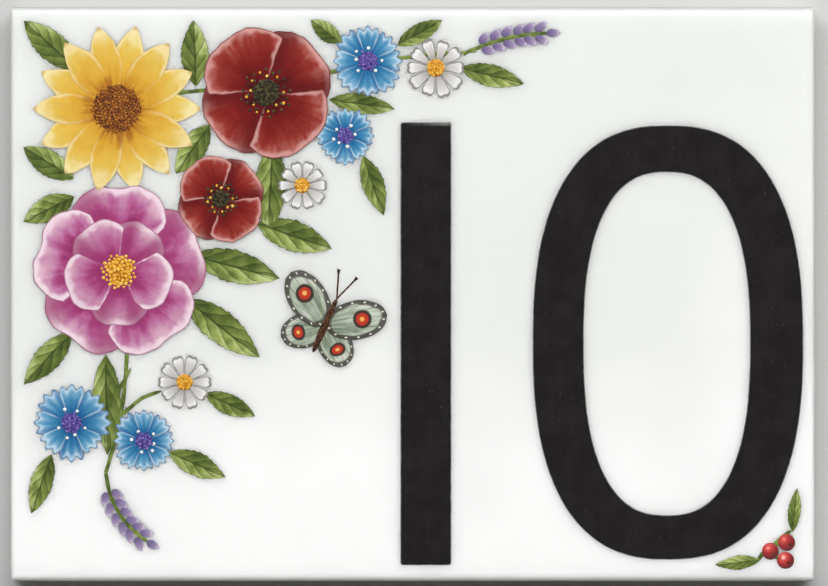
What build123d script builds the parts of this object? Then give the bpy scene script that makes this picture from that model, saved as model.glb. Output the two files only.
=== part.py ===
# House number plaque: a pressed ceramic tile, white glazed, with a plain number and a garland in fired enamel.
# Millimetres. The tile stands as it does on a wall: X to the right, Z up, the painted face towards -Y.
# The origin is the middle of the back face, where the tile is cemented to the wall.
import os
from math import atan2, copysign, cos, degrees, pi, sin

from build123d import *

# Tile: the cushion is the rounding of the face's edge, broad across the face and shallow down the side
tile_width = 177.8
tile_height = 127.0
tile_thickness = 6.4
cushion_width = 2.0
cushion_depth = 0.8
edge_radius = 0.5
corner_radius = 1.0
back_bevel = 0.5

# Keying recesses pressed into the unglazed back
key_margin = 9.0
key_size = 15.5
key_rib = 3.5
key_depth = 0.8
key_draft = 30.0

# Number: margins from the tile's edges, and the widths of its strokes
numeral_head = 25.6
numeral_foot = 3.6
numeral_side = 2.4
numeral_gap = 18.2
one_width = 11.1
one_corner = 0.4
zero_width = 59.8
zero_side_stroke = 11.4
zero_end_stroke = 10.0
zero_inset = 0.8
zero_squareness = 2.5
zero_arcs = 16

# Enamel: one fired coat, and a second coat where a bloom is built up
enamel = 0.15
second_coat = 0.15

# Garland: places are measured in from the tile's left edge and down from its top edge
rose_place = (24.0, 58.5)
rose_petal_count = 5
rose_outer_reach = 19.5
rose_outer_length = 15.0
rose_outer_width = 20.5
rose_inner_reach = 12.5
rose_inner_length = 13.0
rose_inner_width = 13.0
rose_turn = 18.0
rose_centre_radius = 3.6

sunflower_place = (23.5, 22.5)
sunflower_petal_count = 14
sunflower_reach = 18.5
sunflower_petal_base = 3.0
sunflower_petal_width = 7.0
sunflower_centre_radius = 5.4

# A bloom that comes in several sizes is given by its place and reach, and its petals in shares of that reach
poppies = [((56.5, 19.0), 15.0), ((46.5, 42.5), 10.0)]
poppy_width_share = 1.24
poppy_shoulder_share = 0.6
poppy_turn = 38.0
poppy_centre_share = 0.2

cornflowers = [((79.0, 12.0), 8.0), ((74.0, 28.5), 6.5), ((13.5, 92.0), 8.5), ((29.5, 96.0), 7.0)]
floret_count = 8
floret_mouth_share = 0.68
floret_notch_share = 0.8
cornflower_tuft_share = 0.26
cornflower_tuft_points = 8

daisies = [((94.0, 13.5), 6.6), ((64.5, 39.5), 5.6), ((38.5, 83.0), 6.0)]
daisy_petal_count = 10
daisy_width_share = 0.46
daisy_shoulder_share = 0.93
daisy_centre_share = 0.3

# Stems and sprigs: start, end and rise of an arc
stem_width = 0.9
stems = [
    ((21.0, 103.0), (24.0, 58.5), -3.0),
    ((23.5, 22.5), (56.5, 19.0), 2.0),
    ((56.5, 19.0), (103.0, 10.0), 2.0),
    ((56.5, 19.0), (74.0, 28.5), -1.5),
    ((46.5, 42.5), (64.5, 39.5), -2.0),
    ((13.5, 92.0), (26.5, 80.0), -2.0),
    ((25.0, 90.0), (38.5, 83.0), 1.0),
]
sprigs = [((100.0, 10.5), (120.0, 5.8), 1.2), ((21.0, 103.0), (31.5, 119.0), -2.4)]
bud_pairs = 6
bud_length = 3.2
bud_width = 1.9
bud_splay = 32.0
bud_stand_off = 1.5
sprig_bare_share = 0.28

# Leaves: base, tip and the rise of each side
leaves = [
    ((15.0, 14.0), (2.9, 3.1), 3.4),
    ((14.0, 38.0), (2.8, 31.0), 3.0),
    ((14.0, 42.0), (2.8, 47.5), 3.0),
    ((41.0, 17.5), (40.5, 3.0), 3.2),
    ((44.0, 26.0), (36.5, 37.0), 3.0),
    ((58.0, 30.0), (57.0, 50.0), 3.6),
    ((54.5, 48.0), (71.0, 53.5), 3.6),
    ((40.0, 55.0), (59.5, 60.0), 3.8),
    ((38.5, 64.5), (55.0, 77.5), 3.8),
    ((13.5, 72.0), (2.9, 83.5), 3.0),
    ((21.0, 77.0), (21.5, 99.0), 3.4),
    ((35.0, 98.5), (47.5, 104.0), 2.8),
    ((9.0, 99.0), (4.6, 112.0), 2.6),
    ((43.0, 85.5), (54.0, 90.5), 2.4),
    ((73.0, 8.0), (66.5, 2.9), 2.2),
    ((85.5, 8.5), (95.5, 3.0), 2.2),
    ((99.5, 13.5), (113.5, 17.0), 2.6),
    ((70.5, 20.5), (85.0, 22.5), 2.4),
    ((78.0, 33.0), (82.5, 46.0), 2.6),
]

# Butterfly: its place is measured in from the one's left side and down from the tile's top edge
butterfly_from_one = (16.8, 70.5)
butterfly_turn = -24.0
forewing_length = 14.0
forewing_width = 8.6
forewing_angle = 34.0
hindwing_length = 10.0
hindwing_width = 7.6
hindwing_angle = -38.0
butterfly_length = 13.0
butterfly_body_width = 2.0
antenna_length = 6.5
antenna_width = 0.4
antenna_splay = 20.0

# Berry sprig: places are measured in from the tile's right edge and up from its lower edge
berry_radius = 1.9
berry_places = [(9.8, 6.6), (6.2, 8.6), (6.4, 4.6)]
berry_leaves = [((12.0, 4.6), (22.0, 3.6), 1.6), ((4.9, 11.0), (3.9, 20.5), 1.5)]
berry_stems = [((12.5, 4.8), (6.2, 8.6), 0.8), ((9.8, 6.6), (5.0, 11.2), 0.5), ((9.8, 6.6), (6.4, 4.6), -0.4)]

# Planes of the two faces. On both, X runs to the right and Y up, and the normal points out of the front.
back_plane = Plane.XZ
face_plane = back_plane.offset(tile_thickness)


def from_top_left(across, down):
    return (across - tile_width / 2, tile_height / 2 - down)


def from_low_right(across, up):
    return (tile_width / 2 - across, up - tile_height / 2)


def tile_section(breadth):
    # The tile cut through: a bevelled back, upright sides, and a small and a broad arc that meet on each cushion
    half = breadth / 2
    shoulder = tile_thickness - cushion_depth
    inset = cushion_width - edge_radius
    broad_radius = (inset**2 + cushion_depth**2 - edge_radius**2) / (2 * (cushion_depth - edge_radius))
    turn = degrees(atan2(inset, broad_radius - cushion_depth))
    with BuildSketch() as section:
        with BuildLine() as outline:
            Polyline((0, 0), (half - back_bevel, 0), (half, back_bevel), (half, shoulder))
            CenterArc((half - edge_radius, shoulder), edge_radius, 0, 90 - turn)
            CenterArc((half - cushion_width, tile_thickness - broad_radius), broad_radius, 90 - turn, turn)
            Line((half - cushion_width, tile_thickness), (0, tile_thickness))
            mirror(outline.line, about=Plane.YZ)
        make_face()
    return section.sketch


def petal_ring(place, count, reach, length, width, turn=0.0):
    # Oval petals round a bloom's middle, with their tips at the reach
    with Locations(from_top_left(*place)):
        with PolarLocations(reach - length / 2, count, start_angle=turn):
            Ellipse(length / 2, width / 2)


def squared_oval(width, height):
    # Short arcs through points of a superellipse
    points = []
    for step in range(2 * zero_arcs + 1):
        angle = pi * step / zero_arcs
        across = copysign(abs(cos(angle)) ** (2 / zero_squareness), cos(angle))
        along = copysign(abs(sin(angle)) ** (2 / zero_squareness), sin(angle))
        points.append((across * width / 2, along * height / 2))
    for first in range(0, 2 * zero_arcs, 2):
        ThreePointArc(*points[first : first + 3])


def pointed_petal(base, reach, width):
    # A petal along X between two arcs
    with BuildSketch() as petal:
        with BuildLine():
            SagittaArc((base, 0), (reach, 0), width / 2)
            SagittaArc((reach, 0), (base, 0), width / 2)
        make_face()
    return petal.sketch


def blunt_petal(reach, width, shoulder):
    # A wedge along X with a rounded end
    with BuildSketch() as petal:
        with BuildLine():
            Polyline((shoulder, width / 2), (0, 0), (shoulder, -width / 2))
            ThreePointArc((shoulder, -width / 2), (reach, 0), (shoulder, width / 2))
        make_face()
    return petal.sketch


def keep_clear():
    # A field of enamel stays on the flat of the face, and stops at the fields that were painted before it
    add(flat_face.part, mode=Mode.INTERSECT)
    for field in painted.values():
        add(field.part, mode=Mode.SUBTRACT)


# Tile body: what its level section, its upright section and its rounded outline share, less the keying recesses
level_plane = Plane(origin=(0, 0, 0), x_dir=(1, 0, 0), z_dir=(0, 0, -1))
upright_plane = Plane(origin=(0, 0, 0), x_dir=(0, 0, 1), z_dir=(1, 0, 0))

with BuildPart() as tile:
    with BuildSketch(level_plane):
        add(tile_section(tile_width))
    extrude(amount=tile_height / 2, both=True)
    with BuildSketch(upright_plane):
        add(tile_section(tile_height))
    extrude(amount=tile_width / 2, both=True, mode=Mode.INTERSECT)
    with BuildSketch(back_plane):
        RectangleRounded(tile_width, tile_height, corner_radius)
    extrude(amount=tile_thickness, mode=Mode.INTERSECT)
    key_pitch = key_size + key_rib
    key_columns = int((tile_width - 2 * key_margin + key_rib) / key_pitch)
    key_rows = int((tile_height - 2 * key_margin + key_rib) / key_pitch)
    with BuildSketch(back_plane):
        with GridLocations(key_pitch, key_pitch, key_columns, key_rows):
            Rectangle(key_size, key_size)
    extrude(amount=key_depth, taper=key_draft, mode=Mode.SUBTRACT)

# Room for enamel: the flat of the face, as thick as both coats
with BuildPart() as flat_face:
    with BuildSketch(face_plane):
        Rectangle(tile_width - 2 * cushion_width, tile_height - 2 * cushion_width)
    extrude(amount=enamel + second_coat)

painted = {}

# Number: a plain bar and a squared oval ring
numeral_height = tile_height - numeral_head - numeral_foot
numeral_level = numeral_foot + numeral_height / 2
number_reach = numeral_side + zero_width + numeral_gap + one_width
one_middle = from_low_right(number_reach - one_width / 2, numeral_level)
zero_middle = from_low_right(numeral_side + zero_width / 2, numeral_level)
zero_height = numeral_height - 2 * zero_inset
zero_plane = Plane(face_plane.from_local_coords(zero_middle), x_dir=face_plane.x_dir, z_dir=face_plane.z_dir)

with BuildPart() as numeral_one:
    with BuildSketch(face_plane):
        with Locations(one_middle):
            RectangleRounded(one_width, numeral_height, one_corner)
    extrude(amount=enamel)
painted["numeral_one"] = numeral_one

with BuildPart() as numeral_zero:
    with BuildSketch(zero_plane):
        with BuildLine():
            squared_oval(zero_width, zero_height)
        make_face()
        counter_width = zero_width - 2 * zero_side_stroke
        counter_height = zero_height - 2 * zero_end_stroke
        with BuildLine():
            squared_oval(counter_width, counter_height)
        make_face(mode=Mode.SUBTRACT)
    extrude(amount=enamel)
painted["numeral_zero"] = numeral_zero

# Poppies: two fan-shaped petals, and two more in a second coat across them
with BuildPart() as poppy_petals:
    for coat, turn in ((enamel, poppy_turn), (enamel + second_coat, poppy_turn + 90)):
        with BuildSketch(face_plane):
            for place, reach in poppies:
                petal = blunt_petal(reach, reach * poppy_width_share, reach * poppy_shoulder_share)
                with Locations(from_top_left(*place)):
                    Circle(reach * poppy_centre_share)
                    with PolarLocations(0, 2, start_angle=turn):
                        add(petal)
        extrude(amount=coat)
    keep_clear()
painted["poppy_petals"] = poppy_petals

# Rose: a broad ring of petals, and a smaller ring in a second coat
with BuildPart() as rose_petals:
    with BuildSketch(face_plane):
        petal_ring(
            rose_place, rose_petal_count, rose_outer_reach, rose_outer_length, rose_outer_width, rose_turn
        )
    extrude(amount=enamel)
    half_step = 180 / rose_petal_count
    with BuildSketch(face_plane):
        petal_ring(
            rose_place,
            rose_petal_count,
            rose_inner_reach,
            rose_inner_length,
            rose_inner_width,
            rose_turn + half_step,
        )
    extrude(amount=enamel + second_coat)
    keep_clear()
painted["rose_petals"] = rose_petals

with BuildPart() as sunflower_petals:
    petal = pointed_petal(sunflower_petal_base, sunflower_reach, sunflower_petal_width)
    with BuildSketch(face_plane):
        with Locations(from_top_left(*sunflower_place)):
            Circle(sunflower_centre_radius)
            with PolarLocations(0, sunflower_petal_count):
                add(petal)
    extrude(amount=enamel)
    keep_clear()
painted["sunflower_petals"] = sunflower_petals

# Cornflowers: rings of flared florets with toothed mouths
with BuildPart() as cornflower_petals:
    with BuildSketch(face_plane):
        for place, reach in cornflowers:
            notch = reach * floret_notch_share
            half_mouth = reach * floret_mouth_share / 2
            teeth = [(notch, -half_mouth / 3), (reach, 0), (notch, half_mouth / 3)]
            with Locations(from_top_left(*place)):
                with PolarLocations(0, floret_count):
                    Polygon((0, 0), (notch, -half_mouth), *teeth, (notch, half_mouth), align=None)
    extrude(amount=enamel)
    keep_clear()
painted["cornflower_petals"] = cornflower_petals

with BuildPart() as daisy_petals:
    with BuildSketch(face_plane):
        for place, reach in daisies:
            petal = blunt_petal(reach, reach * daisy_width_share, reach * daisy_shoulder_share)
            with Locations(from_top_left(*place)):
                Circle(reach * daisy_centre_share)
                with PolarLocations(0, daisy_petal_count):
                    add(petal)
    extrude(amount=enamel)
    keep_clear()
painted["daisy_petals"] = daisy_petals

# Middles of the blooms, painted over their petals, each kind in a colour of its own
bloom_middles = {
    "rose_centre": (enamel + second_coat, [(rose_place, rose_centre_radius)]),
    "sunflower_centre": (enamel, [(sunflower_place, sunflower_centre_radius)]),
    "poppy_centres": (enamel + second_coat, [(place, reach * poppy_centre_share) for place, reach in poppies]),
    "daisy_centres": (enamel, [(place, reach * daisy_centre_share) for place, reach in daisies]),
}
for name, (petal_height, middles) in bloom_middles.items():
    with BuildPart() as bloom_centre:
        with BuildSketch(face_plane.offset(petal_height)):
            for place, radius in middles:
                with Locations(from_top_left(*place)):
                    Circle(radius)
        extrude(amount=second_coat)
    painted[name] = bloom_centre

with BuildPart() as cornflower_centres:
    with BuildSketch(face_plane.offset(enamel)):
        for place, reach in cornflowers:
            with Locations(from_top_left(*place)):
                RegularPolygon(reach * cornflower_tuft_share, cornflower_tuft_points)
    extrude(amount=second_coat)
painted["cornflower_centres"] = cornflower_centres

# Lavender: pairs of buds up each sprig, with one at its end
with BuildPart() as lavender_buds:
    bud = [(-bud_length / 2, 0), (0, -bud_width / 2), (bud_length / 2, 0), (0, bud_width / 2)]
    with BuildSketch(face_plane):
        for start, end, rise in sprigs:
            with BuildLine(mode=Mode.PRIVATE):
                spine = SagittaArc(from_top_left(*start), from_top_left(*end), rise)
            for step in range(bud_pairs):
                along = sprig_bare_share + (1 - sprig_bare_share) * step / bud_pairs
                heading = degrees(atan2((spine % along).Y, (spine % along).X))
                for side in (-1, 1):
                    foot = spine @ along + Vector(bud_stand_off, 0).rotate(Axis.Z, heading + side * 90)
                    with Locations(foot):
                        Polygon(*bud, rotation=heading + side * bud_splay, align=None)
            with Locations(spine @ 1):
                Polygon(*bud, rotation=heading, align=None)
    extrude(amount=enamel)
    keep_clear()
painted["lavender_buds"] = lavender_buds

# Butterfly: the body and antennae lie over four wings
butterfly_place = (tile_width - number_reach - butterfly_from_one[0], butterfly_from_one[1])

with BuildPart() as butterfly_body:
    with BuildSketch(face_plane):
        with Locations(from_top_left(*butterfly_place)):
            Ellipse(butterfly_body_width / 2, butterfly_length / 2, rotation=butterfly_turn)
        upward = butterfly_turn + 90
        head = Vector(from_top_left(*butterfly_place)) + Vector(butterfly_length / 2, 0).rotate(Axis.Z, upward)
        for side in (-1, 1):
            with BuildLine():
                PolarLine(head, antenna_length, upward + side * antenna_splay)
            trace(line_width=antenna_width)
    extrude(amount=enamel + second_coat)
    keep_clear()
painted["butterfly_body"] = butterfly_body

with BuildPart() as butterfly_wings:
    with BuildSketch(face_plane):
        for angle, length, width in (
            (forewing_angle, forewing_length, forewing_width),
            (hindwing_angle, hindwing_length, hindwing_width),
        ):
            for heading in (angle, 180 - angle):
                petal_ring(butterfly_place, 1, length, length, width, heading + butterfly_turn)
    extrude(amount=enamel)
    keep_clear()
painted["butterfly_wings"] = butterfly_wings

with BuildPart() as berries:
    with BuildSketch(face_plane):
        with Locations(*[from_low_right(*place) for place in berry_places]):
            Circle(berry_radius)
    extrude(amount=enamel + second_coat)
    keep_clear()
painted["berries"] = berries

# Foliage: stems and leaves, behind everything else
with BuildPart() as foliage:
    with BuildSketch(face_plane):
        for measured_from, arcs in ((from_top_left, stems + sprigs), (from_low_right, berry_stems)):
            for start, end, rise in arcs:
                with BuildLine():
                    SagittaArc(measured_from(*start), measured_from(*end), rise)
                trace(line_width=stem_width)
        for measured_from, blades in ((from_top_left, leaves), (from_low_right, berry_leaves)):
            for base, tip, rise in blades:
                with BuildLine():
                    SagittaArc(measured_from(*base), measured_from(*tip), rise)
                    SagittaArc(measured_from(*tip), measured_from(*base), rise)
                make_face()
    extrude(amount=enamel)
    keep_clear()
painted["foliage"] = foliage

os.makedirs("parts", exist_ok=True)
for name, piece in {"tile": tile, **painted}.items():
    piece.part.label = name
    export_step(piece.part, f"parts/{name}.step")
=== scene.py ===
# House number plaque: glaze, enamel numerals and a painted garland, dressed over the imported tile
import math

import bmesh
import bpy
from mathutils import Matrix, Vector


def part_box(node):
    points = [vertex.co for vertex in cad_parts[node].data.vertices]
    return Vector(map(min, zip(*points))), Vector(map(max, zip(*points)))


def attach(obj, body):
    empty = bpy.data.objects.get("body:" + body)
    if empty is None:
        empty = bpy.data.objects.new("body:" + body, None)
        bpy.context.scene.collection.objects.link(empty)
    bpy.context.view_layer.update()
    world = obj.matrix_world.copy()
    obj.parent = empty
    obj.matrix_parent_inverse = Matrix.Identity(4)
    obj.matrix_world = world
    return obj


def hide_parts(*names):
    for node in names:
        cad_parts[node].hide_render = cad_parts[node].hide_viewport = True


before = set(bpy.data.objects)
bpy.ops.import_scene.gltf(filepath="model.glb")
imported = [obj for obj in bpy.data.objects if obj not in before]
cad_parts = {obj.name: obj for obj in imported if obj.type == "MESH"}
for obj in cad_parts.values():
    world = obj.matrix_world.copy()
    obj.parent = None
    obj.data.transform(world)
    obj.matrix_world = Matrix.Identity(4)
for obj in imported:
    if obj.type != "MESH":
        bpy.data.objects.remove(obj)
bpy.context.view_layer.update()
print("frame loaded with", len(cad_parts), "nodes")

mm = 0.001
degree = math.pi / 180
weld = 1e-6  # points nearer than this become one
goldenShare, goldenTurn = 0.382, 2.39996  # spread what repeats evenly, whatever its count
luckStep = 1.37  # between the chances of neighbours
handShake, edgeShake = (330.0, 1.0), (900.0, 2.0)  # scale and detail of a brush's wobble, and of a cut edge's
sharpBend = 0.5  # in radians: edges bent more than this stay sharp
bladeTip = 0.03  # least width of a blade, as a share of its widest
strokeSides = 10  # of a brush stroke's section
crownSide, crownTip = 3.0, 6.0  # powers: how late a petal's crown falls off to its sides and its tip
toothWaves, notchHalf = 3, 0.35  # the waves of a toothed rim, and the notch as a share of the half width
lapFade = 0.5  # how far the shade of a lapping petal reaches
tileLow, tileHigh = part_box("tile")
faceLevel = tileLow.y  # the painted face looks towards -Y
bedLevel = faceLevel + 0.02 * mm  # enamel is fired a little way into the glaze


# Places on the face, as x and z in metres

def fromTopLeft(across, down):
    return tileLow.x + across * mm, tileHigh.z - down * mm


def fromLowRight(across, up):
    return tileHigh.x - across * mm, tileLow.z + up * mm


# Node trees

def signOf(operation):  # a sign of arithmetic between fields, which adds a Math node
    return lambda field, other: field.reckon(operation, field, other)


class Field:  # a node socket that can be reckoned with
    __add__, __sub__, __mul__ = signOf("ADD"), signOf("SUBTRACT"), signOf("MULTIPLY")
    __truediv__, __pow__ = signOf("DIVIDE"), signOf("POWER")

    def __init__(self, tree, socket):
        self.tree, self.socket = tree, socket

    def reckon(self, operation, *values):
        node = self.tree.nodes.new("ShaderNodeMath")
        node.operation = operation
        for socket, value in zip(node.inputs, values):
            feed(self.tree, value, socket)
        return Field(self.tree, node.outputs[0])

    def __rsub__(self, other):
        return self.reckon("SUBTRACT", other, self)

    def __abs__(self):
        return self.reckon("ABSOLUTE", self)

    def call(self, operation, other=0.0):
        return self.reckon(operation, self, other)

    def smooth(self, low, high):  # 0 at low, 1 at high, eased between them
        span = {"Value": self, "From Min": low, "From Max": high}
        node = addNode(self.tree, "ShaderNodeMapRange", span, interpolation_type="SMOOTHSTEP")
        return Field(self.tree, node.outputs["Result"])


def feed(tree, value, socket):
    if isinstance(value, Field):
        value = value.socket
    if isinstance(value, bpy.types.NodeSocket):
        tree.links.new(value, socket)
    else:
        socket.default_value = value


def addNode(tree, kind, inputs=None, **settings):
    node = tree.nodes.new(kind)
    for key, value in settings.items():
        setattr(node, key, value)
    for key, value in (inputs or {}).items():
        feed(tree, value, node.inputs[key])
    return node


def geo(tree, kind, inputs=None, **settings):  # adds a Geometry Nodes node and gives its first output
    return addNode(tree, "GeometryNode" + kind, inputs, **settings).outputs[0]


socketKinds = {int: "Int", float: "Float", tuple: "Vector"}


def newTree(name, kind, inputs, outputs):  # each socket has its kind, or the value it starts from
    tree = bpy.data.node_groups.new(name, kind)
    for side, sockets in (("INPUT", inputs), ("OUTPUT", outputs)):
        for key, start in sockets.items():
            socketKind = socketKinds.get(type(start), start)
            socket = tree.interface.new_socket(key, in_out=side, socket_type="NodeSocket" + socketKind)
            if start != socketKind:
                socket.default_value = start
    given = {socket.name: Field(tree, socket) for socket in tree.nodes.new("NodeGroupInput").outputs}
    return tree, given, tree.nodes.new("NodeGroupOutput").inputs


def geometryTree(name, inputs):
    tree, given, made = newTree(name, "GeometryNodeTree", inputs, {"shape": "Geometry"})
    return tree, given, made["shape"]


def addGroup(tree, group, inputs):
    kind = "GeometryNodeGroup" if group.bl_idname == "GeometryNodeTree" else "ShaderNodeGroup"
    return addNode(tree, kind, inputs, node_tree=group).outputs


def parts(tree, vector):
    split = addNode(tree, "ShaderNodeSeparateXYZ", {"Vector": vector})
    return [Field(tree, socket) for socket in split.outputs]


def vectorOf(tree, x, y, z):
    return addNode(tree, "ShaderNodeCombineXYZ", {"X": x, "Y": y, "Z": z}).outputs[0]


def noiseOf(tree, vector, scale, detail=2.0):
    node = addNode(tree, "ShaderNodeTexNoise", {"Vector": vector, "Scale": scale, "Detail": detail})
    return Field(tree, node.outputs["Fac"])


def shakeOf(tree, vector, scale, detail, wobble):  # how far a hand strays each way
    node = addNode(tree, "ShaderNodeTexNoise", {"Vector": vector, "Scale": scale, "Detail": detail})
    return [(item - 0.5) * wobble * 2 for item in parts(tree, node.outputs["Color"])]


def luckOf(tree, index, seed):  # a fixed chance from 0 to 1 for each copy
    node = addNode(tree, "ShaderNodeTexWhiteNoise", {"W": index * luckStep + seed}, noise_dimensions="1D")
    return Field(tree, node.outputs["Value"])


def store(tree, geometry, name, value, dataType="FLOAT", domain="POINT"):
    inputs = {"Geometry": geometry, "Name": name, "Value": value}
    return geo(tree, "StoreNamedAttribute", inputs, data_type=dataType, domain=domain)


def recall(tree, name):
    node = addNode(tree, "GeometryNodeInputNamedAttribute", {"Name": name}, data_type="FLOAT")
    return Field(tree, node.outputs["Attribute"])


def placeOf(tree):
    return parts(tree, geo(tree, "InputPosition"))


def indexOf(tree):
    return Field(tree, geo(tree, "InputIndex"))


def moveTo(tree, geometry, spot):
    return geo(tree, "SetPosition", {"Geometry": geometry, "Position": spot})


def joined(tree, *shapes):
    node = addNode(tree, "GeometryNodeJoinGeometry")
    for shape in shapes:
        feed(tree, shape, node.inputs[0])
    return node.outputs[0]


def raised(tree, patch, offset):
    inputs = {"Mesh": patch, "Offset": offset, "Individual": False}
    return addNode(tree, "GeometryNodeExtrudeMesh", inputs).outputs


def closeUnder(tree, top, patch):  # the patch, turned over, closes what was raised from it
    under = geo(tree, "FlipFaces", {"Mesh": patch})
    return geo(tree, "MergeByDistance", {"Geometry": joined(tree, top, under), "Distance": weld})


def copies(tree, points, shape, heading, size):  # a copy on every point, turned to its heading
    turn = addNode(tree, "FunctionNodeEulerToRotation", {"Euler": vectorOf(tree, 0, heading * -1, 0)})
    inputs = {"Points": points, "Instance": shape, "Rotation": turn.outputs[0], "Scale": size}
    return geo(tree, "InstanceOnPoints", inputs)


# Sockets of the trees, with what a piece has where its dictionary says nothing else

finishInputs = {"wobble": 0.0, "seed": 0.0, "material": "Material"}
fanInputs = {
    "columns": 21, "rows": 17, "reach": 0.0, "halfAngle": 0.0, "waist": 0.0, "drop": 0.0, "power": 2.0,
    "teeth": 0.0, "notch": 0.0, "start": 0.0,
}
ringInputs = {
    "before": "Geometry", "place": (0.0, 0.0, 0.0), "petals": 5, **fanInputs, "turn": 0.0, "layer": 0.1,
    "layerStep": 0.0, "spread": 0.04, "dome": 0.2, "laps": 0.0, "under": 0.0, **finishInputs,
}
patchInputs = {"columns": 15, "rows": 31, "plump": 1.0, "skew": 1.0, "serrate": 0.0, "teeth": 1.0}
bladeInputs = {"points": "Geometry", **patchInputs, "dome": 0.2, **finishInputs}
strokeInputs = {"lines": "Geometry", "bed": 0.0, "flat": 1.0, **finishInputs}
dotInputs = {
    "before": "Geometry", "place": (0.0, 0.0, 0.0), "count": 1, "segments": 8, "rings": 6, "inner": 0.0,
    "outer": 0.0, "size": 0.0, "height": 0.0, "spread": 0.4, **finishInputs,
}
figureInputs = {"outlines": "Geometry", "spacing": 0.0, "height": 0.0, "bed": 0.0, **finishInputs}
unitOf = {  # the dictionaries give these in millimetres and degrees
    **{name: mm for name in ("wobble", "reach", "inner", "outer", "size", "height", "spacing")},
    **{name: degree for name in ("turn", "halfAngle")},
}


def makeSlabGroup():  # a flat patch becomes a closed slab, 1 mm high at its rim and crowned above it
    tree, given, made = geometryTree("enamelSlab", {"patch": "Geometry", "dome": 0.2})
    slab = raised(tree, given["patch"], vectorOf(tree, 0, -mm, 0))
    crown = vectorOf(tree, 0, recall(tree, "crown") * given["dome"] * -mm, 0)
    inputs = {"Geometry": slab["Mesh"], "Selection": slab["Top"], "Offset": crown}
    feed(tree, closeUnder(tree, geo(tree, "SetPosition", inputs), given["patch"]), made)
    return tree


def makePatch(tree, given):  # a grid with its petalUV and crown, and the side and along fields that shape it
    grid = geo(tree, "MeshGrid", {
        "Size X": 2.0, "Size Y": 1.0, "Vertices X": given["columns"], "Vertices Y": given["rows"],
    })
    side, along, _ = placeOf(tree)
    along = along + 0.5
    uv = vectorOf(tree, side * 0.5 + 0.5, along, 0)
    marked = store(tree, grid, "petalUV", uv, "FLOAT2", "CORNER")
    crown = (1 - abs(side) ** crownSide) * (1 - along ** crownTip)
    return store(tree, marked, "crown", crown), side, along


def makeFanGroup():  # a fan-shaped petal along X
    tree, given, made = geometryTree("fanPatch", fanInputs)
    patch, side, along = makePatch(tree, given)
    teeth = (0.5 - (side * toothWaves * math.pi).call("COSINE") * 0.5) * given["teeth"]
    notch = (1 - (side / notchHalf) ** 2.0).call("MAXIMUM") ** 2.0 * given["notch"]
    rim = (1 - abs(side) ** given["power"] * given["drop"] - teeth - notch) * given["reach"]
    radius = rim * (given["start"] + along * (1 - given["start"]))
    angle = side * given["halfAngle"] * ((1 - along) ** 2.0 * given["waist"] - 1)
    spot = vectorOf(tree, radius * angle.call("COSINE"), 0, radius * angle.call("SINE"))
    feed(tree, moveTo(tree, patch, spot), made)
    return tree


def makePatchGroup():  # a leaf-shaped patch along X, 1 long and 1 to each side
    tree, given, made = geometryTree("bladePatch", patchInputs)
    patch, side, along = makePatch(tree, given)
    shifted = along ** given["skew"]
    width = (shifted * (1 - shifted) * 4).call("MAXIMUM") ** given["plump"]
    saw = 1 - (along * given["teeth"]).call("FRACT") * given["serrate"]
    width = (width * saw).call("MAXIMUM", bladeTip)
    feed(tree, moveTo(tree, patch, vectorOf(tree, along, 0, side * width * -1)), made)
    return tree


def finishTree(tree, geometry, given, made):  # a hand's wobble, smooth tops with sharp rims, then the paint
    real = geo(tree, "RealizeInstances", {"Geometry": geometry})
    x, _, z = placeOf(tree)
    dx, _, dz = shakeOf(tree, vectorOf(tree, x, given["seed"], z), *handShake, given["wobble"])
    moved = geo(tree, "SetPosition", {"Geometry": real, "Offset": vectorOf(tree, dx, 0, dz)})
    sharp = Field(tree, geo(tree, "InputMeshEdgeAngle")).call("GREATER_THAN", sharpBend)
    smooth = geo(tree, "SetShadeSmooth", {"Geometry": moved, "Shade Smooth": True})
    shaded = store(tree, smooth, "sharp_edge", sharp, "BOOLEAN", "EDGE")
    painted = geo(tree, "SetMaterial", {"Geometry": shaded, "Material": given["material"]})
    before = [given["before"]] if "before" in given else []
    feed(tree, joined(tree, painted, *before), made)
    return tree


slabGroup, fanGroup, patchGroup = makeSlabGroup(), makeFanGroup(), makePatchGroup()


def slabOf(tree, group, names, given):
    patch = addGroup(tree, group, {name: given[name] for name in names})[0]
    return addGroup(tree, slabGroup, {"patch": patch, "dome": given["dome"]})[0]


def makeRingTree():  # a ring of fan petals round a place
    tree, given, made = geometryTree("petalRing", ringInputs)
    slab = slabOf(tree, fanGroup, fanInputs, given)
    petals, index = given["petals"], indexOf(tree)
    points = geo(tree, "Points", {"Count": petals, "Position": given["place"]})
    heading = index * (2 * math.pi) / petals + given["turn"]
    luck = luckOf(tree, index, given["seed"])
    size = (luck - 0.5) * given["spread"] + 1
    order, fore, back = [
        ((petals + index + shift).call("MODULO", petals) * goldenShare).call("FRACT") for shift in (0, 1, -1)
    ]
    layer = order * given["layerStep"] + given["layer"]
    ring = copies(tree, points, slab, heading, vectorOf(tree, size, layer, size))
    marked = store(tree, ring, "petalTint", luck, "FLOAT", "INSTANCE")
    for name, neighbour in (("lapFore", fore), ("lapBack", back)):
        lapped = (neighbour.call("GREATER_THAN", order) * given["laps"]).call("MAXIMUM", given["under"])
        marked = store(tree, marked, name, lapped, "FLOAT", "INSTANCE")
    return finishTree(tree, marked, given, made)


def makeBladeTree():  # a blade on every point, by the point's heading, span, layer and rise
    tree, given, made = geometryTree("bladeField", bladeInputs)
    slab = slabOf(tree, patchGroup, patchInputs, given)
    size = vectorOf(tree, *[recall(tree, name) for name in ("span", "layer", "rise")])
    field = copies(tree, given["points"], slab, recall(tree, "heading"), size)
    tinted = store(tree, field, "petalTint", recall(tree, "tint"), "FLOAT", "INSTANCE")
    return finishTree(tree, tinted, given, made)


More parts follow.
